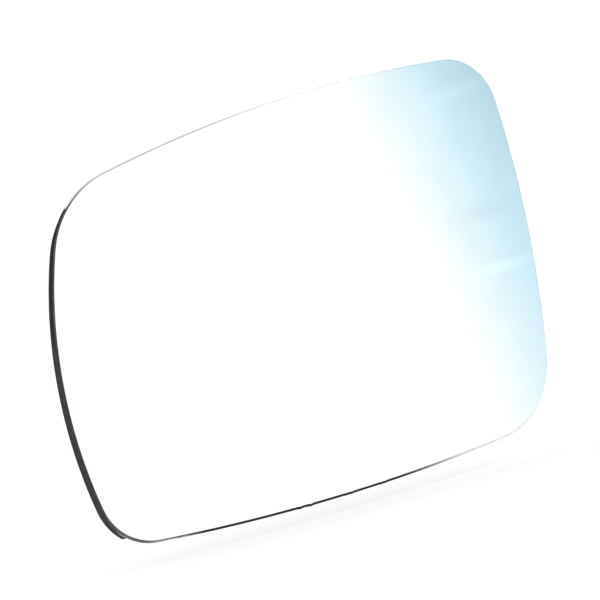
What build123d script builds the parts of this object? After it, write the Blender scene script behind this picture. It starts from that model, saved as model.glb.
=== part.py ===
from build123d import *
import os
from math import asin, cos, sin, sqrt

# Door mirror glass: a convex, edge-ground mirror pane, a thin heating pad and a moulded
# backing plate, bonded face to face. The plate's clip ring snaps on to the mirror motor.
# Millimetres. The reflecting face looks along -Y and +Z is up, as on the car.
# The origin is on the clip ring's axis, at the mouth of the hook lips.

# Glass outline seen from the front: the box from its bottom left to its top right corner point,
# where the sides would meet before the corners are rounded, and the clip ring's axis in that box
corner_width = 170.0
corner_height = 119.5
axis_from_left = 85.0
axis_from_bottom = 57.5

# How far the other two corner points stand inside the box
top_left_in = 8.7
top_left_drop = 14.3
bottom_right_in = 8.2
bottom_right_rise = 1.6

# How far each side bows out between its corners
top_bow = 6.7
right_bow = 4.9
bottom_bow = 4.2
left_bow = 10.6

# Corner radii
top_left_radius = 30.5
top_right_radius = 17.0
bottom_right_radius = 27.0
bottom_left_radius = 18.0

# Mirror pane: curvature of the reflecting face, thickness and the ground edge's bevels
mirror_radius = 1400.0
glass_thickness = 2.2
front_arris = 0.4
rear_arris = 0.25

# Heating pad, stuck to the glass and to the floor of the plate's pocket
pad_thickness = 0.45
pad_inset = 6.0
pad_clearance = 0.4
bond_line = 0.1

# Backing plate: it stops short of the glass edge, but its rim comes out along the left side,
# where it sits a little low on the glass
plate_thickness = 1.8
plate_inset = 2.6
rim_inset = 0.3
rim_drop = 0.8
rim_top_drop = 4.5
rim_bottom_rise = 2.6
plate_edge_bevel = 0.5

# Stiffening ribs on the back
rib_thickness = 1.3
rib_height = 2.6
border_rib_inset = 9.0
round_rib_radius = 45.0
rib_count = 16

# Clip ring: wall segments between spring hooks whose lips point inwards
ring_standoff = 7.0
ring_inner_radius = 31.0
ring_wall = 1.8
hook_count = 8
hook_angle = 22.0
hook_slot = 1.6
lip_reach = 1.2
lip_land = 1.4
lip_lead_in = 1.2
mould_window_margin = 0.8
key_width = 5.0
key_depth = 3.0

# Window for the pad's terminals
window_from_right = 25.0
window_z = 0.0
window_width = 16.0
window_height = 27.0
window_corner = 2.5

# Blade terminals, each held to the pad by an eyelet
blade_width = 6.3
blade_thickness = 0.8
blade_length = 11.0
blade_tip_bevel = 1.2
blade_hole_radius = 0.8
blade_hole_from_tip = 3.2
blade_pitch = 13.0
blade_bend_radius = 1.2
foot_length = 10.0
foot_from_window_edge = 3.0
foot_sink = 0.1
eyelet_radius = 1.5
eyelet_bore = 0.9
eyelet_flange_radius = 2.6
eyelet_flange = 0.45
eyelet_clearance = 0.05
eyelet_from_tip = 4.0

# Depths behind the crown of the reflecting face, measured along the mirror's radius
glass_back = glass_thickness
pad_front = glass_back + bond_line
pad_back = pad_front + pad_thickness
plate_back = pad_back + plate_thickness
plate_middle = pad_back + plate_thickness / 2
rib_top = plate_back + rib_height

# Where those depths lie: the mirror's centre of curvature is behind it on the ring's axis
crown_y = -(ring_standoff + plate_back)
centre_y = crown_y + mirror_radius
ring_end_y = lip_lead_in
stack_depth = ring_end_y - crown_y

# Where the outline's corner points, the rim's ends and the terminal window lie
left_x = -axis_from_left
right_x = left_x + corner_width
bottom_z = -axis_from_bottom
top_z = bottom_z + corner_height
top_left = Vector(left_x + top_left_in, top_z - top_left_drop)
top_right = Vector(right_x, top_z)
bottom_right = Vector(right_x - bottom_right_in, bottom_z + bottom_right_rise)
bottom_left = Vector(left_x, bottom_z)
rim_top_z = top_left.Y - rim_top_drop
rim_bottom_z = bottom_z + rim_bottom_rise
window_x = right_x - window_from_right
far_reach = corner_width + corner_height


def ball(depth):
    """The sphere that lies the given depth behind the reflecting face."""
    return Pos(0, centre_y, 0) * Sphere(mirror_radius - depth)


def prism(sketch):
    """A sketch drawn as seen from the front, drawn out through the whole stack and past it."""
    behind_all = Plane.XZ.offset(-ring_end_y - stack_depth)
    return extrude(behind_all * sketch, amount=3 * stack_depth)


def layer(sketch, front_depth, back_depth):
    """A sheet with the sketch's outline that follows the mirror's curve between two depths."""
    return (prism(sketch) & ball(front_depth)) - ball(back_depth)


def side(start, end, bow):
    """One bowed side of the outline, running clockwise from corner to corner."""
    along = end - start
    outward = Vector(-along.Y, along.X).normalized()
    return ThreePointArc(start, (start + end) / 2 + outward * bow, end)


def outline(inset):
    """The glass outline seen from the front, moved inwards by an inset all round."""
    sides = [
        side(top_left, top_right, top_bow),
        side(top_right, bottom_right, right_bow),
        side(bottom_right, bottom_left, bottom_bow),
        side(bottom_left, top_left, left_bow),
    ]
    corners = [
        (top_left, top_left_radius),
        (top_right, top_right_radius),
        (bottom_right, bottom_right_radius),
        (bottom_left, bottom_left_radius),
    ]
    shape = make_face(sides)
    if inset > 0:
        shape = offset(shape, amount=-inset)
    for corner, radius in corners:
        shape = fillet(shape.vertices().sort_by_distance(corner)[0], radius - inset)
    return shape


def mirror_glass():
    """Bent pane of even thickness with both edges bevelled by the grinding wheel."""
    pane = layer(outline(0), 0, glass_back)
    curved = pane.faces().filter_by(GeomType.SPHERE).sort_by(Axis.Y)
    pane = chamfer(curved[0].edges(), front_arris)
    curved = pane.faces().filter_by(GeomType.SPHERE).sort_by(Axis.Y)
    return chamfer(curved[-1].edges(), rear_arris)


def heater_pad():
    """Self-adhesive heating foil between glass and plate."""
    return layer(outline(pad_inset), pad_front, pad_back)


def plate_outline():
    """Inset all round, with the rim that shows along the left side."""
    rim_height = rim_top_z - rim_bottom_z
    rim_zone = Pos(-far_reach / 2, (rim_top_z + rim_bottom_z) / 2) * Rectangle(far_reach, rim_height)
    rim = Pos(0, -rim_drop) * outline(rim_inset)
    return outline(plate_inset) + (rim & rim_zone)


def terminal_window(margin):
    """The opening for the terminals, grown by a margin."""
    opening = RectangleRounded(
        window_width + 2 * margin, window_height + 2 * margin, window_corner + margin
    )
    return Pos(window_x, window_z) * opening


def rib_sketch():
    """Border rib, round rib, spokes from the clip ring and the upstand round the window."""
    field = outline(border_rib_inset)
    ribs = field - outline(border_rib_inset + rib_thickness)
    ribs += Circle(round_rib_radius + rib_thickness / 2) - Circle(round_rib_radius - rib_thickness / 2)
    for number in range(rib_count):
        meets_hook = number * hook_count % rib_count == 0
        start = round_rib_radius if meets_hook else ring_inner_radius + ring_wall / 2
        spoke = Pos((start + far_reach) / 2, 0) * Rectangle(far_reach - start, rib_thickness)
        ribs += (Rot(0, 0, number * 360 / rib_count) * spoke) & field
    ribs -= terminal_window(rib_thickness)
    return ribs + (terminal_window(rib_thickness) - terminal_window(0))


def round_the_ring(profile, angle):
    """A radius and depth profile swept through an angle, centred on +X, about the ring's axis."""
    return Rot(0, -angle / 2, 0) * revolve(profile, axis=Axis.Y, revolution_arc=angle)


def at_hooks(shape):
    """One copy of a shape at every hook."""
    return [Rot(0, number * 360 / hook_count, 0) * shape for number in range(hook_count)]


def hook_lip():
    """Inward lip with a flat catch, a round land and a sloping lead-in."""
    lip_radius = ring_inner_radius - lip_reach
    root_radius = ring_inner_radius + ring_wall / 2
    profile = Polyline(
        (root_radius, -lip_land),
        (lip_radius, -lip_land),
        (lip_radius, 0),
        (lip_radius + lip_lead_in, ring_end_y),
        (root_radius, ring_end_y),
        close=True,
    )
    return round_the_ring(make_face(profile), hook_angle)


def mould_window():
    """Opening in the plate under a lip, left by the part of the mould that forms its catch."""
    inner = ring_inner_radius - lip_reach - mould_window_margin
    width = ring_inner_radius - inner
    profile = Pos(inner + width / 2, 0) * Rectangle(width, 4 * stack_depth)
    return round_the_ring(profile, hook_angle)


def hook_gap():
    """The pair of slots that free one hook from the wall beside it."""
    gap_angle = hook_angle / 2
    cutter = Pos(ring_inner_radius + ring_wall / 2, 0, 0) * Box(3 * ring_wall, 4 * stack_depth, hook_slot)
    beside = Pos(0, 0, hook_slot / 2) * cutter
    other = Pos(0, 0, -hook_slot / 2) * cutter
    return Rot(0, -gap_angle, 0) * beside + Rot(0, gap_angle, 0) * other


def clip_ring():
    """Round wall cut into segments and hooks, with two key notches that set the glass upright."""
    foot_y = -ring_standoff - plate_thickness / 2
    wall = Circle(ring_inner_radius + ring_wall) - Circle(ring_inner_radius)
    ring = extrude(Plane.XZ.offset(-ring_end_y) * wall, amount=ring_end_y - foot_y)
    ring -= [gap & ball(plate_back) for gap in at_hooks(hook_gap())]
    half_segment = 180 / hook_count
    notch = Pos(ring_inner_radius, ring_end_y - key_depth / 2, 0) * Box(4 * ring_wall, key_depth, key_width)
    ring -= [Rot(0, turn, 0) * notch for turn in (half_segment, half_segment + 180)]
    return ring + at_hooks(hook_lip())


def backing_plate():
    """Moulded plate: pocket for the pad in front, ribs and clip ring behind."""
    sheet = layer(plate_outline(), glass_back, plate_back)
    rear = sheet.faces().filter_by(GeomType.SPHERE).sort_by(Axis.Y)[-1]
    sheet = chamfer(rear.outer_wire().edges(), plate_edge_bevel)
    sheet -= layer(outline(pad_inset - pad_clearance), 0, pad_back)
    sheet += layer(rib_sketch(), plate_middle, rib_top)
    sheet -= prism(terminal_window(0))
    sheet -= at_hooks(mould_window())
    return sheet + clip_ring()


def on_pad(x, z):
    """Plane that lies on the pad's back at a place, with its Y axis pointing away from the glass."""
    radius = mirror_radius - pad_back
    lean = asin(x / radius)
    y = centre_y - sqrt(radius**2 - x**2 - z**2)
    return Plane(origin=(x, y, z), x_dir=(cos(lean), sin(lean), 0), z_dir=(0, 0, 1))


def terminal_places():
    """Planes of the upper and lower terminal, with the blade's middle at the origin."""
    x = window_x - window_width / 2 + foot_from_window_edge
    return [on_pad(x, window_z + blade_pitch / 2), on_pad(x, window_z - blade_pitch / 2)]


def blade_terminal(place):
    """Strip bent from foot to blade, with a bevelled tip and a hole that the socket latches into."""
    middle_y = blade_thickness / 2 - foot_sink
    path = FilletPolyline(
        (0, blade_length), (0, middle_y), (foot_length, middle_y), radius=blade_bend_radius
    )
    strip = extrude(trace(path, blade_thickness), amount=blade_width / 2, both=True)
    tip = strip.edges().filter_by(Axis.X).group_by(Axis.Y)[-1]
    strip = chamfer(tip, blade_tip_bevel)
    latch = Pos(0, blade_length - blade_hole_from_tip, 0) * Rot(0, 90, 0)
    strip -= latch * Cylinder(blade_hole_radius, 3 * blade_thickness)
    bore = Pos(foot_length - eyelet_from_tip, middle_y, 0) * Rot(90, 0, 0)
    strip -= bore * Cylinder(eyelet_radius + eyelet_clearance, 3 * blade_thickness)
    return (place * strip) & ball(pad_back)


def eyelet(place):
    """Flanged tube through the terminal's foot."""
    top_y = blade_thickness - foot_sink
    profile = Polyline(
        (eyelet_bore, -foot_sink),
        (eyelet_radius, -foot_sink),
        (eyelet_radius, top_y),
        (eyelet_flange_radius, top_y),
        (eyelet_flange_radius, top_y + eyelet_flange / 2),
        (eyelet_flange_radius - eyelet_flange / 2, top_y + eyelet_flange),
        (eyelet_bore, top_y + eyelet_flange),
        close=True,
    )
    tube = Pos(foot_length - eyelet_from_tip, 0, 0) * revolve(make_face(profile), axis=Axis.Y)
    return (place * tube) & ball(pad_back)


upper_place, lower_place = terminal_places()
nodes = {
    "mirror_glass": mirror_glass(),
    "heater_pad": heater_pad(),
    "backing_plate": backing_plate(),
    "heater_terminal_upper": blade_terminal(upper_place),
    "heater_terminal_lower": blade_terminal(lower_place),
    "terminal_eyelets": eyelet(upper_place) + eyelet(lower_place),
}

os.makedirs("parts", exist_ok=True)
for name, solid in nodes.items():
    export_step(solid, f"parts/{name}.step")
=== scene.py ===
"""Finish and studio for the car door mirror glass: pane, backing plate, heating pad and terminals."""

from math import ceil, cos, exp, radians, sin, sqrt

import bmesh
import bpy
from bpy.props import FloatProperty, FloatVectorProperty, IntProperty, PointerProperty
from bpy.types import Operator, Panel, PropertyGroup
from mathutils import Matrix, Vector
from mathutils.geometry import intersect_sphere_sphere_2d


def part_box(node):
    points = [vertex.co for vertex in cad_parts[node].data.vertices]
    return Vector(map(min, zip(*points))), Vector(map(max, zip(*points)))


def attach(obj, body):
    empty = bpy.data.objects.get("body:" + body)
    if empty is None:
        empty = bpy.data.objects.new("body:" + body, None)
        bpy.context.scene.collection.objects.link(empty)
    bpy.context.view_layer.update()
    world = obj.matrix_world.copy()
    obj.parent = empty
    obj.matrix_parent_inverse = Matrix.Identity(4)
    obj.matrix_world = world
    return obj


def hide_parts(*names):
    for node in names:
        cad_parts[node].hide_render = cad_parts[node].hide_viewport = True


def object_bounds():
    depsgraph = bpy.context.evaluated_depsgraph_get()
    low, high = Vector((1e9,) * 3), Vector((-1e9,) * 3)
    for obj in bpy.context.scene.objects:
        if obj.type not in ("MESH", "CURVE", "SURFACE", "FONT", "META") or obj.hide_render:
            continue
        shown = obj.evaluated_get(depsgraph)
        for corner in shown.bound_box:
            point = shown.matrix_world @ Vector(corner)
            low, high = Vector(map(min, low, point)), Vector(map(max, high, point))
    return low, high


bl_info = {
    "name": "Car door mirror glass",
    "version": (1, 0, 0),
    "blender": (4, 5, 0),
    "location": "View3D > Sidebar > Door mirror",
    "description": "Gives the packed door mirror glass its finish and sets it in a white studio",
    "category": "Object",
}

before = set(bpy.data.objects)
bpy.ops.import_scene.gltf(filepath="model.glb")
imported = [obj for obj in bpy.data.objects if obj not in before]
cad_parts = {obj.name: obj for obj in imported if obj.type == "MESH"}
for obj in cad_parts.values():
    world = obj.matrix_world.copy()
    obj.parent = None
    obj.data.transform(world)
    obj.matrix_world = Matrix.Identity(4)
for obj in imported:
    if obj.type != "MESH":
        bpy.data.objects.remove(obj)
CAD_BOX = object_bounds()
BODY = "root"

# One millimetre in the scene's metres
MM = 0.001

# Vertices this close to a depth count as lying at it
FLAT_WITHIN = 0.01 * MM

# Outline points closer than this share of their spacing are merged
MERGE_SHARE = 0.1

# Share of the bottom left radius over which the wider bottom bevel comes in
GRIND_SHARE = 1 / 3

# Mean of a noise
NOISE_MEAN = 0.5

# Sockets of a Mix node that mixes colours
MIX_SHARE, MIX_FIRST, MIX_SECOND = 0, 6, 7
MIX_RESULT = 2

WHITE = (1.0, 1.0, 1.0, 1.0)

# The camera's sensor in millimetres, and how far it sees in metres
SENSOR_WIDTH = 36.0
CLIP_END = 200.0

# Material slots of the pane
COAT, BEVEL, EDGE, LACQUER = range(4)

# Burrs that the grinding wheel left along the bottom edge: place along X, half width and height
BURRS = (
    (-23.5 * MM, 0.5 * MM, 0.16 * MM),
    (-19.7 * MM, 0.7 * MM, 0.20 * MM),
    (-6.5 * MM, 0.5 * MM, 0.12 * MM),
    (-4.6 * MM, 0.5 * MM, 0.14 * MM),
    (6.7 * MM, 0.5 * MM, 0.10 * MM),
    (8.2 * MM, 0.5 * MM, 0.12 * MM),
)

# Mean distance of the edge from the clip ring's axis
EDGE_REACH = 80 * MM

# Where the edge's finish changes along X, as the start and end of each fade
LEFT_END = (-62 * MM, -50 * MM)
CORNER_END = (-74 * MM, -62 * MM)
# Where the pale line on the bevel's rim comes in, in the bottom left corner
PALE_RIM_START = (-79 * MM, -68 * MM)
# Where the painted shade along the bottom side begins and ends
BOTTOM_SHADE_START = (-69 * MM, -57 * MM)
BOTTOM_SHADE_END = (13 * MM, 49 * MM)
TOP_LINE_END = (-34 * MM, 16 * MM)
RIGHT_START = (30 * MM, 70 * MM)

# Where it changes along Z
SHOULDER = (43.2 * MM, 44.0 * MM)
BEVEL_SHOULDER = (43.5 * MM, 51 * MM)
# Below this height the painted shade on the left side takes its lower tone
LOWER_TONE_TOP = (2.5 * MM, 8.5 * MM)
LOWER_BEVEL_TOP = (-45 * MM, -36 * MM)
CORNER_TOP = (-47 * MM, -41 * MM)
BEVEL_CORNER_TOP = (-51 * MM, -44 * MM)
PALE_LINE_TOP = (-54.0 * MM, -51.4 * MM)
# Where the painted shade on the left side fades out towards the bottom left corner
SHADE_FOOT = (-56 * MM, -47 * MM)
BOTTOM_TOP = (-54 * MM, -48 * MM)
FOOT_TOP = (-56 * MM, -48 * MM)
RIGHT_TONES = (-46 * MM, 30 * MM)

# Where it changes across the edge, behind the reflecting face
EDGE_BACK = (1.40 * MM, 1.65 * MM)
BEVEL_RIM = (0.05 * MM, 0.12 * MM)

# How far the grains of the edge and of the bevel, and the wheel's runs, are drawn out along the edge
EDGE_STRETCH = 2.0
BEVEL_STRETCH = 4.0
RUN_STRETCH = 40.0

# Where in its noise each pattern begins and where it is full
HAZE_RANGE = (0.45, 0.75)
EDGE_GRAIN_RANGE = (0.36, 0.64)
RUN_RANGE = (0.30, 0.70)
BEVEL_GRAIN_RANGE = (0.30, 0.72)
RUBBED_RANGE = (0.48, 0.78)
TARNISH_RANGE = (0.45, 0.80)
SCUFF_RANGE = (0.50, 0.80)

# How dark and how light a pattern makes its colour, the grain in the painted shade among them, or how
# much of the shade's lower tone the wheel's runs let show
SHADED_TONES = (0.5, 1.5)
BARE_TONES = (0.88, 1.12)
CORNER_TONES = (0.6, 1.4)
RUN_MIX = (0.45, 1.55)

# Colours of the dull spots, as shares of the clean colour
PEEL_SHARE = 0.7
TARNISH_SHARE = 0.62
SCUFF_SHARE = 0.7

# Roughness of each finish, from its glossiest to its dullest spots
COAT_ROUGHNESS = (0.012, 0.032)
EDGE_ROUGHNESS = (0.62, 0.82)
BEVEL_ROUGHNESS = (0.5, 0.7)
LACQUER_ROUGHNESS = (0.38, 0.53)
MOULDING_ROUGHNESS = (0.40, 0.56)
FOIL_ROUGHNESS = (0.30, 0.50)
STRIP_ROUGHNESS = (0.24, 0.36)
EYELET_ROUGHNESS = (0.20, 0.38)
TABLE_ROUGHNESS = (0.8, 0.9)

# Roughness that wear adds
RUBBED_ROUGHNESS = 0.08
TARNISH_ROUGHNESS = 0.12

# Gloss of what isn't metal
GROUND_GLOSS = 0.12
MOULDING_GLOSS = 0.45
FOIL_GLOSS = 0.6

# Height and strength of each finish's bumps
EDGE_BUMP = (0.05 * MM, 0.4)
BEVEL_BUMP = (0.04 * MM, 0.3)
PEEL_BUMP = (0.03 * MM, 0.4)
MOULDING_BUMP = (0.04 * MM, 0.35)
CRINKLE_BUMP = (0.08 * MM, 0.3)
ROLLING_BUMP = (0.01 * MM, 0.25)

# Rolling lines run along Z
ROLLING_STRETCH = (1.0, 1.0, 0.06)

# Where the wall behind the mirror begins and where it is full, as the Y of the way to it
BACK_WALL_RANGE = (-0.1, 0.4)

# The bright panel's edge, from lit to dark: how far along its fade, and the colour
PANEL_FADE = (
    (0.0, (0.86, 0.58, 0.53)),
    (0.30, (0.678, 0.529, 0.496)),
    (0.58, (0.52, 0.467, 0.474)),
    (1.0, (0.415, 0.408, 0.412)),
)

# Soft shades on the walls: depth, then where each begins and ends in height and in turn, in degrees
WALL_SHADES = (
    (0.14, (4.2, 6.6), (39.8, 42.0)),
    (0.10, (0.5, 4.0), (41.6, 43.2)),
)

# Streaks on the walls: turn, height, half width and half length in degrees, lean, and strength,
# which is below 0 where a streak is darker than its wall
WALL_STREAKS = (
    (41.8, 5.78, 0.45, 2.4, 0.05, 1.4),
    (42.0, -1.03, 0.35, 2.6, 0.04, 1.5),
    (41.5, 1.12, 0.50, 2.6, 0.0, -0.8),
    (41.0, 2.70, 1.30, 1.8, -0.15, 0.7),
)


def length(name, description, default):
    """A length that the user can change."""
    return FloatProperty(name=name, description=description, default=default, unit="LENGTH", precision=4)


def angle(name, description, default):
    """An angle that the user can change, given in degrees here."""
    return FloatProperty(name=name, description=description, default=radians(default), subtype="ANGLE")


def colour(name, description, default):
    """A colour that the user can change."""
    return FloatVectorProperty(
        name=name, description=description, default=default, subtype="COLOR", min=0.0, max=1.0
    )


def amount(name, description, default):
    """A plain number that the user can change."""
    return FloatProperty(name=name, description=description, default=default, min=0.0, precision=3)


class OutlineSettings(PropertyGroup):
    """The pane's outline seen from the front, and its curve."""

    corner_width: length("Width", "From the left to the right corner points", 170 * MM)
    corner_height: length("Height", "From the bottom to the top corner points", 119.5 * MM)
    axis_from_left: length("Axis from left", "Clip ring's axis from the left corner point", 85 * MM)
    axis_from_bottom: length(
        "Axis from bottom", "Clip ring's axis from the bottom corner point", 57.5 * MM
    )
    top_left_in: length("Top left in", "How far the top left corner point stands in", 8.7 * MM)
    top_left_drop: length(
        "Top left drop", "How far the top left corner point lies below the top right", 14.3 * MM
    )
    bottom_right_in: length(
        "Bottom right in", "How far the bottom right corner point stands in", 8.2 * MM
    )
    bottom_right_rise: length(
        "Bottom right rise", "How far the bottom right corner point lies up", 1.6 * MM
    )
    top_bow: length("Top bow", "How far the top side bows out", 6.7 * MM)
    right_bow: length("Right bow", "How far the right side bows out", 4.9 * MM)
    bottom_bow: length("Bottom bow", "How far the bottom side bows out", 4.2 * MM)
    left_bow: length("Left bow", "How far the left side bows out", 10.6 * MM)
    top_left_radius: length("Top left radius", "Rounding of the top left corner", 30.5 * MM)
    top_right_radius: length("Top right radius", "Rounding of the top right corner", 17 * MM)
    bottom_right_radius: length("Bottom right radius", "Rounding of the bottom right corner", 27 * MM)
    bottom_left_radius: length("Bottom left radius", "Rounding of the bottom left corner", 18 * MM)
    mirror_radius: length("Mirror radius", "Radius of the convex reflecting face", 1400 * MM)


class PaneSettings(PropertyGroup):
    """The pane's thickness, its ground edge and its finish."""

    thickness: length("Thickness", "Thickness of the glass", 2.2 * MM)
    front_arris: length("Front bevel", "Width of the bevel round the reflecting face", 0.4 * MM)
    rear_arris: length("Rear bevel", "Width of the bevel round the back", 0.25 * MM)
    bottom_grind: length("Bottom grind", "How much wider the front bevel is along the bottom", 0.35 * MM)
    right_grind: length(
        "Right grind", "How much wider the front bevel is along the right side", 0.25 * MM
    )
    edge_step: length("Edge step", "Spacing of the points along the outline", 0.5 * MM)
    front_rings: IntProperty(name="Front rings", description="Rings of faces in the front", default=20)
    back_rings: IntProperty(name="Back rings", description="Rings of faces in the back", default=12)
    edge_rows: IntProperty(name="Edge rows", description="Cuts across the ground edge", default=4)
    tint: colour("Tint", "Reflecting coat's blue tint", (0.605, 0.905, 1.0))
    ground: colour("Ground glass", "Clean front bevel", (0.86, 0.87, 0.86))
    clean_edge: colour("Clean edge", "Ground edge without paint", (0.70, 0.72, 0.71))
    # Painted shade: the ground edge darkened where the black plate lies behind it, along the left and
    # the bottom
    shaded_edge: colour("Sealed edge", "Edge under its dark sealing paint", (0.017, 0.016, 0.016))
    # Lower, browner tone of the same painted shade, low on the left and along the bottom, streaked along
    # the wheel's runs
    rubbed: colour("Rubbed edge", "Edge where the sealing paint is rubbed thin", (0.050, 0.042, 0.040))
    # Painted shade, lighter in the bottom left corner of the edge and the bevel
    corner_edge: colour(
        "Corner edge", "Edge where the paint thins in the bottom left corner", (0.125, 0.118, 0.112)
    )
    # Painted shade on the front bevel along the bottom
    bottom_shade: colour("Stained bevel", "Front bevel along the bottom", (0.017, 0.0175, 0.016))
    # The front bevel's lower and upper left colours are painted shade, darker low down
    lower_bevel: colour("Lower bevel", "Front bevel in the lower left", (0.060, 0.055, 0.052))
    upper_bevel: colour("Upper bevel", "Front bevel in the upper left", (0.085, 0.082, 0.080))
    # Bare pale glass at the back of the edge in the bottom left corner, where the painted shade stops
    pale_line: colour(
        "Pale line", "Where the paint has run out in the bottom left corner", (0.75, 0.73, 0.71)
    )
    bevel_line: colour("Bevel line", "Front bevel along the top", (0.52, 0.51, 0.51))
    bevel_side: colour("Bevel, upper right", "Front bevel in the upper right", (0.46, 0.66, 0.76))
    bevel_low: colour("Bevel, lower right", "Front bevel in the lower right", (0.70, 0.82, 0.88))
    bevel_foot: colour(
        "Bevel, bottom right", "Front bevel in the bottom right corner", (0.77, 0.77, 0.77)
    )
    lacquer: colour("Lacquer", "Paint on the back of the glass", (0.05, 0.05, 0.052))
    haze: length("Haze", "Size of the hazy patches on the coat", 29 * MM)
    grain: length("Grain", "Size of the ground edge's grains", 0.67 * MM)
    run: length("Runs", "Width of the runs that the grinding wheel left", 0.38 * MM)
    peel: length("Orange peel", "Size of the lacquer's orange peel", 1.1 * MM)


class PlateSettings(PropertyGroup):
    """The black moulding's finish."""

    plastic: colour("Plastic", "Colour of the moulding", (0.014, 0.014, 0.015))
    worn: colour("Worn plastic", "Colour where the moulding is rubbed and dusty", (0.030, 0.030, 0.031))
    grain: length("Grain", "Size of the spark-eroded grain", 0.35 * MM)
    edge_round: length("Edge rounding", "Radius that softens the moulding's edges", 0.30 * MM)
    rubbed: length("Rubbed patches", "Size of the patches that are rubbed and dusty", 17 * MM)


class HeaterSettings(PropertyGroup):
    """The heating pad's and its terminals' finish."""

    foil: colour("Foil", "Colour of the heating foil", (0.56, 0.56, 0.53))
    track: colour("Track", "Colour of the printed tracks under the film", (0.16, 0.16, 0.156))
    track_pitch: length("Track pitch", "Distance between the printed tracks", 3.2 * MM)
    track_width: length("Track width", "Width of a printed track", 1.3 * MM)
    track_blur: length("Track blur", "How soft a track's edge looks under the film", 0.13 * MM)
    strip: colour("Terminal", "Colour of the rolled terminal strip", (0.78, 0.66, 0.40))
    eyelet: colour("Eyelet", "Colour of the eyelets", (0.80, 0.70, 0.46))
    crinkle: length("Crinkles", "Size of the film's crinkles", 4.5 * MM)
    rolling: length("Rolling lines", "Width of the strip's rolling lines", 0.19 * MM)
    tarnish: length("Tarnish", "Size of the strip's tarnished spots", 2.4 * MM)
    scuff: length("Scuffs", "Size of the eyelets' scuffs", 0.55 * MM)


class StudioSettings(PropertyGroup):
    """Camera, table and light."""

    azimuth: angle("Camera azimuth", "Camera's place round the mirror, from straight in front", -32.296)
    elevation: angle("Camera elevation", "Camera's height above the horizon", 0.413)
    roll: angle("Camera roll", "How far the camera is turned about its own axis", 14.196)
    distance: length("Camera distance", "From the camera to the mirror", 1.0)
    aim_x: length("Aim X", "Point that the camera looks at, along X", -6.602 * MM)
    aim_z: length("Aim Z", "Point that the camera looks at, along Z", 0.332 * MM)
    lens: FloatProperty(name="Lens", description="Focal length", default=196.9, unit="CAMERA")
    table_half: length("Table half width", "From the table's middle to its sides", 5.0)
    table_gap: length("Table gap", "From the glass down to the table", 4.6 * MM)
    table_colour: colour("Table", "Colour of the table", (0.40, 0.40, 0.40))
    table_patch: length("Table patches", "Size of the table's duller patches", 25 * MM)
    table_glow: amount("Table glow", "Light that comes through the table from below", 0.64)
    surround: amount("Surround", "Brightness of the white room", 1.05)
    key_power: FloatProperty(
        name="Key light", description="Power of the key light", default=60.0, unit="POWER"
    )
    key_turn: angle("Key turn", "How far to the left behind the mirror the key light stands", 30)
    key_height: angle("Key height", "Height of the key light above the horizon", 60)
    key_distance: length("Key distance", "From the mirror to the key light", 6.0)
    key_width: length("Key width", "Width of the key light", 12.0)
    key_depth: length("Key depth", "Depth of the key light from front to back", 5.0)


class RoomSettings(PropertyGroup):
    """What the mirror shows of the room. Turns are counted to the right from straight ahead."""

    light: amount("Room light", "Brightness of the room in the mirror", 2.0)
    panel_start: angle("Panel start", "Where the front wall gives way to the bright panel", 1.0)
    panel_full: angle("Panel full", "Where the bright panel is at its brightest", 15.0)
    panel_end: angle("Panel end", "Where the bright panel begins to fade", 38.2)
    panel_fade: angle("Panel fade", "How far the bright panel takes to fade", 7.4)
    panel_lean: amount("Panel lean", "How far the bright panel's end leans, by height", 0.27)
    far_start: angle("Far panel start", "Where the panel on the left begins, counted to the left", 57.0)
    far_full: angle("Far panel full", "Where the panel on the left is at its brightest", 69.0)
    far_lean: amount("Far panel lean", "How far the panel on the left leans, by height", 0.6)
    ceiling_start: angle("Ceiling start", "Height at which the walls begin to darken", 15.0)
    ceiling_full: angle("Ceiling full", "Height at which the ceiling begins", 35.0)
    front_wall: colour("Front wall", "Wall straight ahead of the mirror", (0.43, 0.42, 0.425))
    far_panel: colour("Far panel", "Bright panel on the left", (0.66, 0.515, 0.485))
    back_wall: colour("Back wall", "Wall behind the mirror", (0.20, 0.20, 0.20))
    ceiling: colour("Ceiling", "Ceiling of the room", (0.12, 0.085, 0.08))
    streak: amount("Streaks", "How much brighter or darker the streaks are", 0.12)
    cloth: amount("Cloth", "How uneven the cloth on the walls is", 0.22)
    cloth_size: amount(
        "Cloth size", "Size of the cloth's uneven patches, as a share of their distance", 0.033
    )


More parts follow.
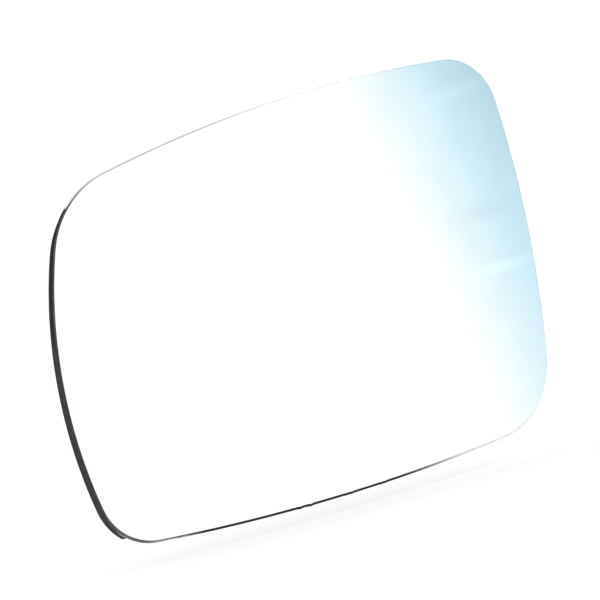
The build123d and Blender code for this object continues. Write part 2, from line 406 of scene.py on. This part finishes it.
class Shade:
    """One socket of a node tree. Sums on it add Math nodes, and node() adds any other node."""

    def __init__(self, tree, socket=None):
        self.tree = tree
        self.socket = socket

    def node(self, kind, settings=(), inputs=(), output=0):
        """Adds a node, sets it up, fills its inputs, and gives one of its outputs if it has any."""
        made = self.tree.nodes.new(kind)
        for name, value in dict(settings).items():
            if name == "stops":
                self.set_stops(made.color_ramp, value)
            else:
                setattr(made, name, value)
        for name, value in dict(inputs).items():
            if isinstance(value, Shade):
                self.tree.links.new(value.socket, made.inputs[name])
            else:
                made.inputs[name].default_value = value
        return Shade(self.tree, made.outputs[output] if made.outputs else None)

    @staticmethod
    def set_stops(ramp, stops):
        """Gives a colour ramp its stops, as pairs of a place and a colour."""
        while len(ramp.elements) < len(stops):
            ramp.elements.new(1.0)
        for element, (place, shade) in zip(ramp.elements, stops):
            element.position = place
            element.color = (*shade, 1.0)

    def out(self, name):
        """Another output of the same node."""
        return Shade(self.tree, self.socket.node.outputs[name])

    def math(self, operation, first, second=0.0):
        """A Math node on two values or sockets."""
        return self.node("ShaderNodeMath", {"operation": operation}, {0: first, 1: second})

    def __add__(self, other):
        return self.math("ADD", self, other)

    def __radd__(self, other):
        return self.math("ADD", other, self)

    def __sub__(self, other):
        return self.math("SUBTRACT", self, other)

    def __rsub__(self, other):
        return self.math("SUBTRACT", other, self)

    def __mul__(self, other):
        return self.math("MULTIPLY", self, other)

    def __rmul__(self, other):
        return self.math("MULTIPLY", other, self)

    def __truediv__(self, other):
        return self.math("DIVIDE", self, other)

    def __rtruediv__(self, other):
        return self.math("DIVIDE", other, self)

    def rise(self, low, high):
        """Smooth step from 0 at one value to 1 at another."""
        inputs = {"Value": self, "From Min": low, "From Max": high}
        return self.node("ShaderNodeMapRange", {"interpolation_type": "SMOOTHSTEP"}, inputs, "Result")

    def between(self, low, high):
        """A value that goes from low to high as this one goes from 0 to 1."""
        return low + self * (high - low)

    def band(self, centre, half_width):
        """1 where the value is at the centre, falling smoothly to 0 at the half width on each side."""
        apart = self.math("ABSOLUTE", self - centre)
        return 1 - apart.rise(0.0, half_width)

    def blend(self, first, second):
        """A colour mixed from two, with this value as the share of the second."""
        inputs = {MIX_SHARE: self, MIX_FIRST: opaque(first), MIX_SECOND: opaque(second)}
        return self.node("ShaderNodeMix", {"data_type": "RGBA"}, inputs, MIX_RESULT)

    def scaled(self, factor):
        """A colour or vector times a value."""
        return self.node("ShaderNodeVectorMath", {"operation": "SCALE"}, {0: self, "Scale": factor})

    def noise(self, size, detail=2.0, roughness=0.5):
        """Noise at this place, with patches of a given size."""
        inputs = {"Vector": self, "Scale": 1 / size, "Detail": detail, "Roughness": roughness}
        return self.node("ShaderNodeTexNoise", {}, inputs, "Fac")


def opaque(value):
    """A colour with its alpha, or a socket as it is."""
    return value if isinstance(value, Shade) else (*value, 1.0)


def dulled(clean, share):
    """A darker colour, as a share of a clean one."""
    return tuple(share * part for part in clean)


def new_finish(name, **constants):
    """A material with a principled shader whose unvarying sockets are set, and its tree and place."""
    material = bpy.data.materials.new(name)
    material.use_nodes = True
    tree = material.node_tree
    shader = tree.nodes["Principled BSDF"]
    for socket, value in constants.items():
        shader.inputs[socket.replace("_", " ")].default_value = value
    place = Shade(tree).node("ShaderNodeTexCoord", output="Object")
    return material, shader, place


def feed(shader, **sockets):
    """Joins varying values to a shader's sockets."""
    for socket, value in sockets.items():
        value.tree.links.new(value.socket, shader.inputs[socket.replace("_", " ")])


def axes(place):
    """The X, Y and Z of a place."""
    split = place.node("ShaderNodeSeparateXYZ", {}, {"Vector": place}, "X")
    return split, split.out("Y"), split.out("Z")


def bump(height, distance, strength, normal=None):
    """A normal that follows a height."""
    inputs = {"Height": height, "Distance": distance, "Strength": strength}
    if normal:
        inputs["Normal"] = normal
    return height.node("ShaderNodeBump", {}, inputs)


def along_edge(place, stretch):
    """Coordinates that run round the outline and across its edge, drawn out along the run."""
    x, y, z = axes(place)
    run = x.math("ARCTAN2", 0 - z, 0 - x) * (EDGE_REACH / stretch)
    return place.node("ShaderNodeCombineXYZ", {}, {"X": run, "Y": y, "Z": 0.0})


def on_left(x):
    """1 on the left side of the outline, 0 elsewhere."""
    return 1 - x.rise(*LEFT_END)


def on_bottom(x, z):
    """1 along the middle of the bottom side, where shade is painted, 0 elsewhere."""
    return (1 - z.rise(*BOTTOM_TOP)) * x.rise(*BOTTOM_SHADE_START) * (1 - x.rise(*BOTTOM_SHADE_END))


def mirror_coat(settings):
    """Blue-tinted reflecting coat with a trace of haze."""
    material, shader, place = new_finish("blue_mirror_coat", Metallic=1.0)
    shader.inputs["Base Color"].default_value = opaque(settings.tint)
    haze = place.noise(settings.haze, detail=4.0, roughness=0.6).rise(*HAZE_RANGE)
    feed(shader, Roughness=haze.between(*COAT_ROUGHNESS))
    return material


def depth_in_glass(place, shape, crown):
    """How far a place lies behind the bent reflecting face."""
    x, y, z = axes(place)
    return y - crown - (x * x + z * z) / (2 * shape.mirror_radius)


def ground_edge(shape, settings, crown):
    """Fine-ground edge with painted shade along the left and the bottom, where the black plate lies
    behind it, in grains drawn out by the wheel.
    """
    material, shader, place = new_finish("ground_edge", Specular_IOR_Level=GROUND_GLOSS)
    x, _, z = axes(place)
    drawn_out = along_edge(place, EDGE_STRETCH)
    grains = drawn_out.noise(settings.grain, detail=3.0, roughness=0.7).rise(*EDGE_GRAIN_RANGE)
    runs = along_edge(place, RUN_STRETCH).noise(settings.run).rise(*RUN_RANGE)
    corner = (1 - z.rise(*CORNER_TOP)) * (1 - x.rise(*CORNER_END))
    behind = depth_in_glass(place, shape, crown).rise(*EDGE_BACK) * (1 - z.rise(*PALE_LINE_TOP))
    # Painted shade on the left below the shoulder, kept off the bare back of the bottom left corner
    left = on_left(x) * (1 - z.rise(*SHOULDER)) * z.rise(*SHADE_FOOT) * (1 - behind)
    # Low down the painted shade takes its lower tone, in streaks along the wheel's runs
    worn = (1 - z.rise(*LOWER_TONE_TOP)) * runs.between(*RUN_MIX)
    # The painted shade, with the grain in it
    paint = worn.blend(settings.shaded_edge, settings.rubbed).scaled(grains.between(*SHADED_TONES))
    # Bottom left corner: lighter painted shade in front, bare pale glass at the back
    corner_tone = behind.blend(settings.corner_edge, settings.pale_line)
    bare = corner.blend(settings.clean_edge, corner_tone).scaled(grains.between(*BARE_TONES))
    # Painted shade on the left and along the bottom, bare ground glass elsewhere
    feed(
        shader,
        Base_Color=left.math("MAXIMUM", left, on_bottom(x, z)).blend(bare, paint),
        Roughness=grains.between(*EDGE_ROUGHNESS),
        Normal=bump(grains, *EDGE_BUMP),
    )
    return material


def front_bevel(shape, settings, crown):
    """Ground bevel round the face: painted shade on the left and bottom, grey top, and pale at the
    right.
    """
    material, shader, place = new_finish("front_bevel", Specular_IOR_Level=GROUND_GLOSS)
    x, _, z = axes(place)
    drawn_out = along_edge(place, BEVEL_STRETCH)
    grains = drawn_out.noise(settings.grain, detail=3.0, roughness=0.6).rise(*BEVEL_GRAIN_RANGE)
    top = x.rise(*TOP_LINE_END).blend(settings.bevel_line, settings.ground)
    right = z.rise(*RIGHT_TONES).blend(settings.bevel_low, settings.bevel_side)
    side = x.rise(*RIGHT_START).blend(top, right)
    clean = z.rise(*FOOT_TOP).blend(settings.bevel_foot, side)
    # Painted shade on the left of the bevel, its tone changing with height down to the corner
    upper = z.rise(*LOWER_TONE_TOP).blend(settings.rubbed, settings.upper_bevel)
    lower = z.rise(*LOWER_BEVEL_TOP).blend(settings.lower_bevel, upper)
    rim = depth_in_glass(place, shape, crown).rise(*BEVEL_RIM)
    corner_tone = (x.rise(*PALE_RIM_START) * rim).blend(settings.corner_edge, settings.pale_line)
    corner = z.rise(*BEVEL_CORNER_TOP).blend(corner_tone, lower)
    left = on_left(x) * (1 - z.rise(*BEVEL_SHOULDER))
    bare = clean.scaled(grains.between(*BARE_TONES))
    sided = left.blend(bare, corner.scaled(grains.between(*CORNER_TONES)))
    feed(
        shader,
        # Painted shade along the bottom of the bevel
        Base_Color=on_bottom(x, z).blend(sided, settings.bottom_shade),
        Roughness=grains.between(*BEVEL_ROUGHNESS),
        Normal=bump(grains, *BEVEL_BUMP),
    )
    return material


def back_lacquer(settings):
    """Dark paint over the coat, with a faint orange peel."""
    material, shader, place = new_finish("back_lacquer")
    peel = place.noise(settings.peel)
    feed(
        shader,
        Base_Color=peel.blend(settings.lacquer, dulled(settings.lacquer, PEEL_SHARE)),
        Roughness=peel.between(*LACQUER_ROUGHNESS),
        Normal=bump(peel, *PEEL_BUMP),
    )
    return material


def black_moulding(settings):
    """Black plastic from a spark-eroded mould, a little rubbed, with softened edges."""
    material, shader, place = new_finish("black_moulding", Specular_IOR_Level=MOULDING_GLOSS)
    grain = place.noise(settings.grain, detail=3.0, roughness=0.6)
    rubbed = place.noise(settings.rubbed, detail=5.0, roughness=0.65).rise(*RUBBED_RANGE)
    soft_edge = place.node("ShaderNodeBevel", {"samples": 6}, {"Radius": settings.edge_round})
    feed(
        shader,
        Base_Color=rubbed.blend(settings.plastic, settings.worn),
        Roughness=grain.between(*MOULDING_ROUGHNESS) + rubbed * RUBBED_ROUGHNESS,
        Normal=bump(grain, *MOULDING_BUMP, soft_edge),
    )
    return material


def heating_foil(settings):
    """Silvery film with printed heating tracks under it."""
    material, shader, place = new_finish("heating_foil", Specular_IOR_Level=FOIL_GLOSS)
    _, _, z = axes(place)
    across = z.math("PINGPONG", z, settings.track_pitch / 2)
    track_edge = settings.track_width / 2
    track = 1 - across.rise(track_edge, track_edge + settings.track_blur)
    crinkle = place.noise(settings.crinkle, detail=3.0, roughness=0.55)
    feed(
        shader,
        Base_Color=track.blend(settings.foil, settings.track),
        Roughness=crinkle.between(*FOIL_ROUGHNESS),
        Normal=bump(crinkle, *CRINKLE_BUMP),
    )
    return material


def rolled_strip(settings):
    """Bright brass strip with fine rolling lines and a little tarnish."""
    material, shader, place = new_finish("terminal_brass", Metallic=1.0)
    stretched = place.node("ShaderNodeMapping", {}, {"Vector": place, "Scale": ROLLING_STRETCH})
    lines = stretched.noise(settings.rolling)
    tarnish = place.noise(settings.tarnish, detail=4.0, roughness=0.6).rise(*TARNISH_RANGE)
    feed(
        shader,
        Base_Color=tarnish.blend(settings.strip, dulled(settings.strip, TARNISH_SHARE)),
        Roughness=lines.between(*STRIP_ROUGHNESS) + tarnish * TARNISH_ROUGHNESS,
        Normal=bump(lines, *ROLLING_BUMP),
    )
    return material


def turned_eyelet(settings):
    """Bright rolled-over eyelet with a few scuffs."""
    material, shader, place = new_finish("eyelet_brass", Metallic=1.0)
    scuff = place.noise(settings.scuff, detail=3.0, roughness=0.6).rise(*SCUFF_RANGE)
    feed(
        shader,
        Base_Color=scuff.blend(settings.eyelet, dulled(settings.eyelet, SCUFF_SHARE)),
        Roughness=scuff.between(*EYELET_ROUGHNESS),
    )
    return material


def side_circle(start, end, bow):
    """Centre and radius of a side that bows out between two corner points, clockwise from the front."""
    along = end - start
    outward = Vector((-along.y, along.x)).normalized()
    radius = bow / 2 + along.length_squared / (8 * bow)
    return (start + end) / 2 + outward * (bow - radius), radius


def corner_centre(before, after, radius, corner):
    """Centre of the rounding that touches two side circles from inside, near their corner point."""
    meets = intersect_sphere_sphere_2d(before[0], before[1] - radius, after[0], after[1] - radius)
    return min(meets, key=lambda point: (point - corner).length)


def outline_arcs(shape):
    """The outline's arcs, clockwise from the front, as the centre, start and end of each."""
    left = -shape.axis_from_left
    right = left + shape.corner_width
    bottom = -shape.axis_from_bottom
    top = bottom + shape.corner_height
    corners = [
        Vector((left + shape.top_left_in, top - shape.top_left_drop)),
        Vector((right, top)),
        Vector((right - shape.bottom_right_in, bottom + shape.bottom_right_rise)),
        Vector((left, bottom)),
    ]
    bows = (shape.top_bow, shape.right_bow, shape.bottom_bow, shape.left_bow)
    radii = (
        shape.top_left_radius,
        shape.top_right_radius,
        shape.bottom_right_radius,
        shape.bottom_left_radius,
    )
    sides = [side_circle(corners[i], corners[(i + 1) % 4], bows[i]) for i in range(4)]
    rounds = [corner_centre(sides[i - 1], sides[i], radii[i], corners[i]) for i in range(4)]
    touches = []
    for i in range(4):
        for side in (sides[i - 1], sides[i]):
            touches.append(rounds[i] + (rounds[i] - side[0]).normalized() * radii[i])
    arcs = []
    for i in range(4):
        arcs.append((rounds[i], touches[2 * i], touches[2 * i + 1]))
        arcs.append((sides[i][0], touches[2 * i + 1], touches[(2 * i + 2) % 8]))
    return arcs


def only(kind, items):
    """The items of one bmesh type."""
    return [item for item in items if isinstance(item, kind)]


def flat_pane(mesh, arcs, depth, step):
    """One flat face inside the outline, drawn by spinning a point along each arc."""
    start = arcs[0][1]
    tip = mesh.verts.new((start.x, depth, start.y))
    for centre, start, end in arcs:
        turn = (start - centre).angle(end - centre)
        steps = ceil(turn * (start - centre).length / step)
        pivot = (centre.x, depth, centre.y)
        made = bmesh.ops.spin(mesh, geom=[tip], cent=pivot, axis=(0, 1, 0), angle=turn, steps=steps)
        tip = only(bmesh.types.BMVert, made["geom_last"])[0]
    bmesh.ops.remove_doubles(mesh, verts=mesh.verts[:], dist=step * MERGE_SHARE)
    return bmesh.ops.contextual_create(mesh, geom=mesh.edges[:])["faces"][0]


def ring_face(mesh, face, rings):
    """Replaces a flat face by rings about the clip ring's axis, so that it can be bent."""
    loop = face.edges[:]
    depth = face.verts[0].co.y
    slot = face.material_index
    bmesh.ops.delete(mesh, geom=[face], context="FACES_ONLY")
    for left in range(rings, 0, -1):
        made = bmesh.ops.extrude_edge_only(mesh, edges=loop)["geom"]
        inner = set(only(bmesh.types.BMVert, made))
        shrink = (left - 1) / left
        bmesh.ops.scale(mesh, vec=(shrink, 1, shrink), verts=list(inner))
        loop = [edge for edge in only(bmesh.types.BMEdge, made) if inner.issuperset(edge.verts)]
        for made_face in only(bmesh.types.BMFace, made):
            made_face.material_index = slot
    bmesh.ops.pointmerge(mesh, verts=list(inner), merge_co=(0, depth, 0))


def at_depth(items, depth):
    """The edges or faces that lie wholly at one depth."""
    return [item for item in items if all(abs(vert.co.y - depth) < FLAT_WITHIN for vert in item.verts)]


def widen_front_bevel(shape, front, settings):
    """Takes the front face back along the bottom and the right, where the bevel was ground wider."""
    reach = shape.bottom_left_radius * GRIND_SHARE
    low = reach - shape.axis_from_bottom
    far = shape.corner_width - shape.axis_from_left - shape.top_right_radius
    for vert in front.verts:
        down = (low - vert.co.z) / reach
        right = (vert.co.x - far) / shape.top_right_radius
        vert.co.z += settings.bottom_grind * min(max(down, 0.0), 1.0)
        vert.co.x -= settings.right_grind * min(max(right, 0.0), 1.0)


def add_burrs(mesh, shape):
    """Pushes small burrs out of the bottom edge."""
    for vert in mesh.verts:
        if vert.co.z < -shape.axis_from_bottom:
            for place, half_width, height in BURRS:
                vert.co.z -= height * exp(-(((vert.co.x - place) / half_width) ** 2))


def pane_mesh(shape, settings, crown):
    """The bent pane with its ground edge, bevels and burrs."""
    mesh = bmesh.new()
    back = crown + settings.thickness
    face = flat_pane(mesh, outline_arcs(shape), crown, settings.edge_step)
    made = bmesh.ops.extrude_face_region(mesh, geom=[face])["geom"]
    bmesh.ops.translate(mesh, vec=(0, settings.thickness, 0), verts=only(bmesh.types.BMVert, made))
    bmesh.ops.recalc_face_normals(mesh, faces=mesh.faces[:])
    for face in mesh.faces:
        face.material_index = EDGE
    rims = ((crown, settings.front_arris, BEVEL), (back, settings.rear_arris, EDGE))
    for depth, width, slot in rims:
        rim = at_depth(mesh.edges, depth)
        bevel = bmesh.ops.bevel(
            mesh, geom=rim, offset=width, affect="EDGES", segments=2, profile=0.5, material=-1
        )
        for face in bevel["faces"]:
            face.material_index = slot
    half_through = settings.thickness / 2
    upright = [
        edge for edge in mesh.edges if abs(edge.verts[0].co.y - edge.verts[1].co.y) > half_through
    ]
    bmesh.ops.subdivide_edges(mesh, edges=upright, cuts=settings.edge_rows, use_grid_fill=True)
    front = max(at_depth(mesh.faces, crown), key=lambda face: len(face.verts))
    rear = max(at_depth(mesh.faces, back), key=lambda face: len(face.verts))
    front.material_index = COAT
    rear.material_index = LACQUER
    widen_front_bevel(shape, front, settings)
    add_burrs(mesh, shape)
    ring_face(mesh, front, settings.front_rings)
    ring_face(mesh, rear, settings.back_rings)
    for vert in mesh.verts:
        vert.co.y += shape.mirror_radius - sqrt(shape.mirror_radius**2 - vert.co.x**2 - vert.co.z**2)
    bmesh.ops.recalc_face_normals(mesh, faces=mesh.faces[:])
    for edge in mesh.edges:
        slots = {face.material_index for face in edge.link_faces}
        edge.smooth = len(slots) == 1
    for face in mesh.faces:
        face.smooth = True
    return mesh


def finished_piece(name, mesh, materials):
    """A mesh object at the origin that rides on the part's body."""
    data = bpy.data.meshes.new(name)
    mesh.to_mesh(data)
    mesh.free()
    for material in materials:
        data.materials.append(material)
    piece = bpy.data.objects.new(name, data)
    bpy.context.scene.collection.objects.link(piece)
    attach(piece, BODY)
    return piece


def true_mirror_normals(data, shape, crown):
    """Gives the reflecting face the exact normals of its sphere."""
    centre = Vector((0, crown + shape.mirror_radius, 0))
    normals = []
    for face in data.polygons:
        for corner in face.loop_indices:
            spot = data.vertices[data.loops[corner].vertex_index].co
            normals.append((spot - centre).normalized() if face.material_index == COAT else Vector())
    data.normals_split_custom_set(normals)


def dress(node, material):
    """Gives a CAD node a finish."""
    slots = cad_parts[node].data.materials
    slots.clear()
    slots.append(material)


class MakePane(Operator):
    """Models the bent mirror pane with its ground edge"""

    bl_idname = "door_mirror.make_pane"
    bl_label = "Mirror pane"

    def execute(self, context):
        shape = context.scene.mirror_outline
        settings = context.scene.mirror_pane
        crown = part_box("mirror_glass")[0].y
        finishes = [
            mirror_coat(settings),
            front_bevel(shape, settings, crown),
            ground_edge(shape, settings, crown),
            back_lacquer(settings),
        ]
        pane = finished_piece("mirror_pane", pane_mesh(shape, settings, crown), finishes)
        true_mirror_normals(pane.data, shape, crown)
        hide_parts("mirror_glass")
        return {"FINISHED"}


class FinishPlate(Operator):
    """Gives the backing plate its black moulded finish"""

    bl_idname = "door_mirror.finish_plate"
    bl_label = "Backing plate"

    def execute(self, context):
        dress("backing_plate", black_moulding(context.scene.mirror_plate))
        return {"FINISHED"}


class FinishHeater(Operator):
    """Gives the heating pad, its terminals and their eyelets their finish"""

    bl_idname = "door_mirror.finish_heater"
    bl_label = "Heater and terminals"

    def execute(self, context):
        settings = context.scene.mirror_heater
        dress("heater_pad", heating_foil(settings))
        strip = rolled_strip(settings)
        dress("heater_terminal_upper", strip)
        dress("heater_terminal_lower", strip)
        dress("terminal_eyelets", turned_eyelet(settings))
        return {"FINISHED"}


def white_table(settings, level):
    """A plain pale table top that the mirror itself doesn't show."""
    material, shader, place = new_finish("table_white", Specular_IOR_Level=0.0)
    shader.inputs["Base Color"].default_value = opaque(settings.table_colour)
    shader.inputs["Emission Color"].default_value = WHITE
    shader.inputs["Emission Strength"].default_value = settings.table_glow
    feed(shader, Roughness=place.noise(settings.table_patch).between(*TABLE_ROUGHNESS))
    mesh = bmesh.new()
    bmesh.ops.create_grid(mesh, x_segments=2, y_segments=2, size=settings.table_half)
    bmesh.ops.translate(mesh, vec=(0, 0, level), verts=mesh.verts[:])
    data = bpy.data.meshes.new("table")
    mesh.to_mesh(data)
    mesh.free()
    data.materials.append(material)
    table = bpy.data.objects.new("table", data)
    table.visible_glossy = False
    bpy.context.scene.collection.objects.link(table)


def key_light(settings):
    """A wide, soft light from above and a little behind, so that the shadow falls forward."""
    light = bpy.data.lights.new("key_light", "AREA")
    light.shape = "RECTANGLE"
    light.size = settings.key_width
    light.size_y = settings.key_depth
    light.energy = settings.key_power
    lamp = bpy.data.objects.new("key_light", light)
    behind = Vector((0, cos(settings.key_height), sin(settings.key_height)))
    toward = Matrix.Rotation(settings.key_turn, 3, "Z") @ behind
    lamp.location = toward * settings.key_distance
    lamp.rotation_euler = toward.to_track_quat("Z", "Y").to_euler()
    lamp.visible_camera = False
    bpy.context.scene.collection.objects.link(lamp)


def room_walls(room, way, turn, height):
    """Colours of the room in the mirror: side panels, greyer walls between them, dark ceiling."""
    _, y, _ = axes(way)
    fade = (turn + height * room.panel_lean - room.panel_end) / room.panel_fade
    panel = way.node("ShaderNodeValToRGB", {"stops": PANEL_FADE}, {"Fac": fade})
    front = turn.rise(room.panel_start, room.panel_full).blend(room.front_wall, panel)
    to_left = 0 - turn - height * room.far_lean
    sides = to_left.rise(room.far_start, room.far_full).blend(front, room.far_panel)
    walls = y.rise(*BACK_WALL_RANGE).blend(sides, room.back_wall)
    return height.rise(room.ceiling_start, room.ceiling_full).blend(walls, room.ceiling)


def room_light(room, way, turn, height):
    """Brightness of the room in the mirror, with uneven cloth, soft shades and streaks."""
    cloth = way.noise(room.cloth_size, detail=3.0, roughness=0.55)
    light = room.light + (cloth - NOISE_MEAN) * room.cloth
    for depth, heights, turns in WALL_SHADES:
        light -= height.rise(*map(radians, heights)) * turn.rise(*map(radians, turns)) * depth
    for *degrees, lean, strength in WALL_STREAKS:
        middle_turn, middle_height, half_width, half_length = map(radians, degrees)
        across = height - (turn - middle_turn) * lean
        streak = across.band(middle_height, half_width) * turn.band(middle_turn, half_length)
        light += streak * (room.streak * strength)
    return light


def studio_surround(settings, room):
    """A white room, whose panels and walls show in reflections only."""
    world = bpy.data.worlds.new("studio_surround")
    world.use_nodes = True
    world.node_tree.nodes.clear()
    way = Shade(world.node_tree).node("ShaderNodeTexCoord", output="Generated")
    x, y, z = axes(way)
    turn = x.math("ARCTAN2", x, 0 - y)
    height = z.math("ARCSINE", z)
    walls = room_walls(room, way, turn, height)
    light = room_light(room, way, turn, height)
    seen = way.node("ShaderNodeBackground", {}, {"Color": walls, "Strength": light})
    white = way.node("ShaderNodeBackground", {}, {"Color": WHITE, "Strength": settings.surround})
    reflected = way.node("ShaderNodeLightPath", output="Is Glossy Ray")
    mixed = way.node("ShaderNodeMixShader", {}, {0: reflected, 1: white, 2: seen})
    way.node("ShaderNodeOutputWorld", {}, {"Surface": mixed})
    bpy.context.scene.world = world


def camera(settings, crown):
    """A camera at the photograph's viewing angle, rolled as it was."""
    data = bpy.data.cameras.new("camera")
    data.lens = settings.lens
    data.sensor_width = SENSOR_WIDTH
    data.clip_end = CLIP_END
    back = Vector(
        (
            sin(settings.azimuth) * cos(settings.elevation),
            -cos(settings.azimuth) * cos(settings.elevation),
            sin(settings.elevation),
        )
    )
    eye = bpy.data.objects.new("camera", data)
    upright = (-back).to_track_quat("-Z", "Y").to_matrix()
    turned = upright @ Matrix.Rotation(-settings.roll, 3, "Z")
    eye.matrix_world = Matrix.Translation(
        Vector((settings.aim_x, crown, settings.aim_z)) + back * settings.distance
    ) @ turned.to_4x4()
    bpy.context.scene.collection.objects.link(eye)
    bpy.context.scene.camera = eye


class MakeStudio(Operator):
    """Sets the table, the light and the camera"""

    bl_idname = "door_mirror.make_studio"
    bl_label = "Studio"

    def execute(self, context):
        settings = context.scene.mirror_studio
        white_table(settings, CAD_BOX[0].z - settings.table_gap)
        key_light(settings)
        studio_surround(settings, context.scene.mirror_room)
        camera(settings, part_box("mirror_glass")[0].y)
        context.scene.view_settings.view_transform = "Standard"
        return {"FINISHED"}


class DoorMirrorPanel(Panel):
    """Lists the steps and their settings"""

    bl_idname = "VIEW3D_PT_door_mirror"
    bl_label = "Door mirror"
    bl_space_type = "VIEW_3D"
    bl_region_type = "UI"
    bl_category = "Door mirror"

    def draw(self, context):
        for step in STEPS:
            self.layout.operator(step.bl_idname)
        for name in SETTINGS:
            group = getattr(context.scene, name)
            box = self.layout.box()
            for setting in group.__annotations__:
                box.prop(group, setting)


STEPS = (MakePane, FinishPlate, FinishHeater, MakeStudio)
SETTINGS = {
    "mirror_outline": OutlineSettings,
    "mirror_pane": PaneSettings,
    "mirror_plate": PlateSettings,
    "mirror_heater": HeaterSettings,
    "mirror_studio": StudioSettings,
    "mirror_room": RoomSettings,
}


def register():
    """Registers the settings, the steps and the panel."""
    for group in (*SETTINGS.values(), *STEPS, DoorMirrorPanel):
        bpy.utils.register_class(group)
    for name, group in SETTINGS.items():
        setattr(bpy.types.Scene, name, PointerProperty(type=group))


def unregister():
    """Takes out what register() put in."""
    for name in SETTINGS:
        delattr(bpy.types.Scene, name)
    for group in reversed((*SETTINGS.values(), *STEPS, DoorMirrorPanel)):
        bpy.utils.unregister_class(group)


def main():
    """Runs every step."""
    register()
    bpy.ops.door_mirror.make_pane()
    bpy.ops.door_mirror.finish_plate()
    bpy.ops.door_mirror.finish_heater()
    bpy.ops.door_mirror.make_studio()


if __name__ == "__main__":
    main()
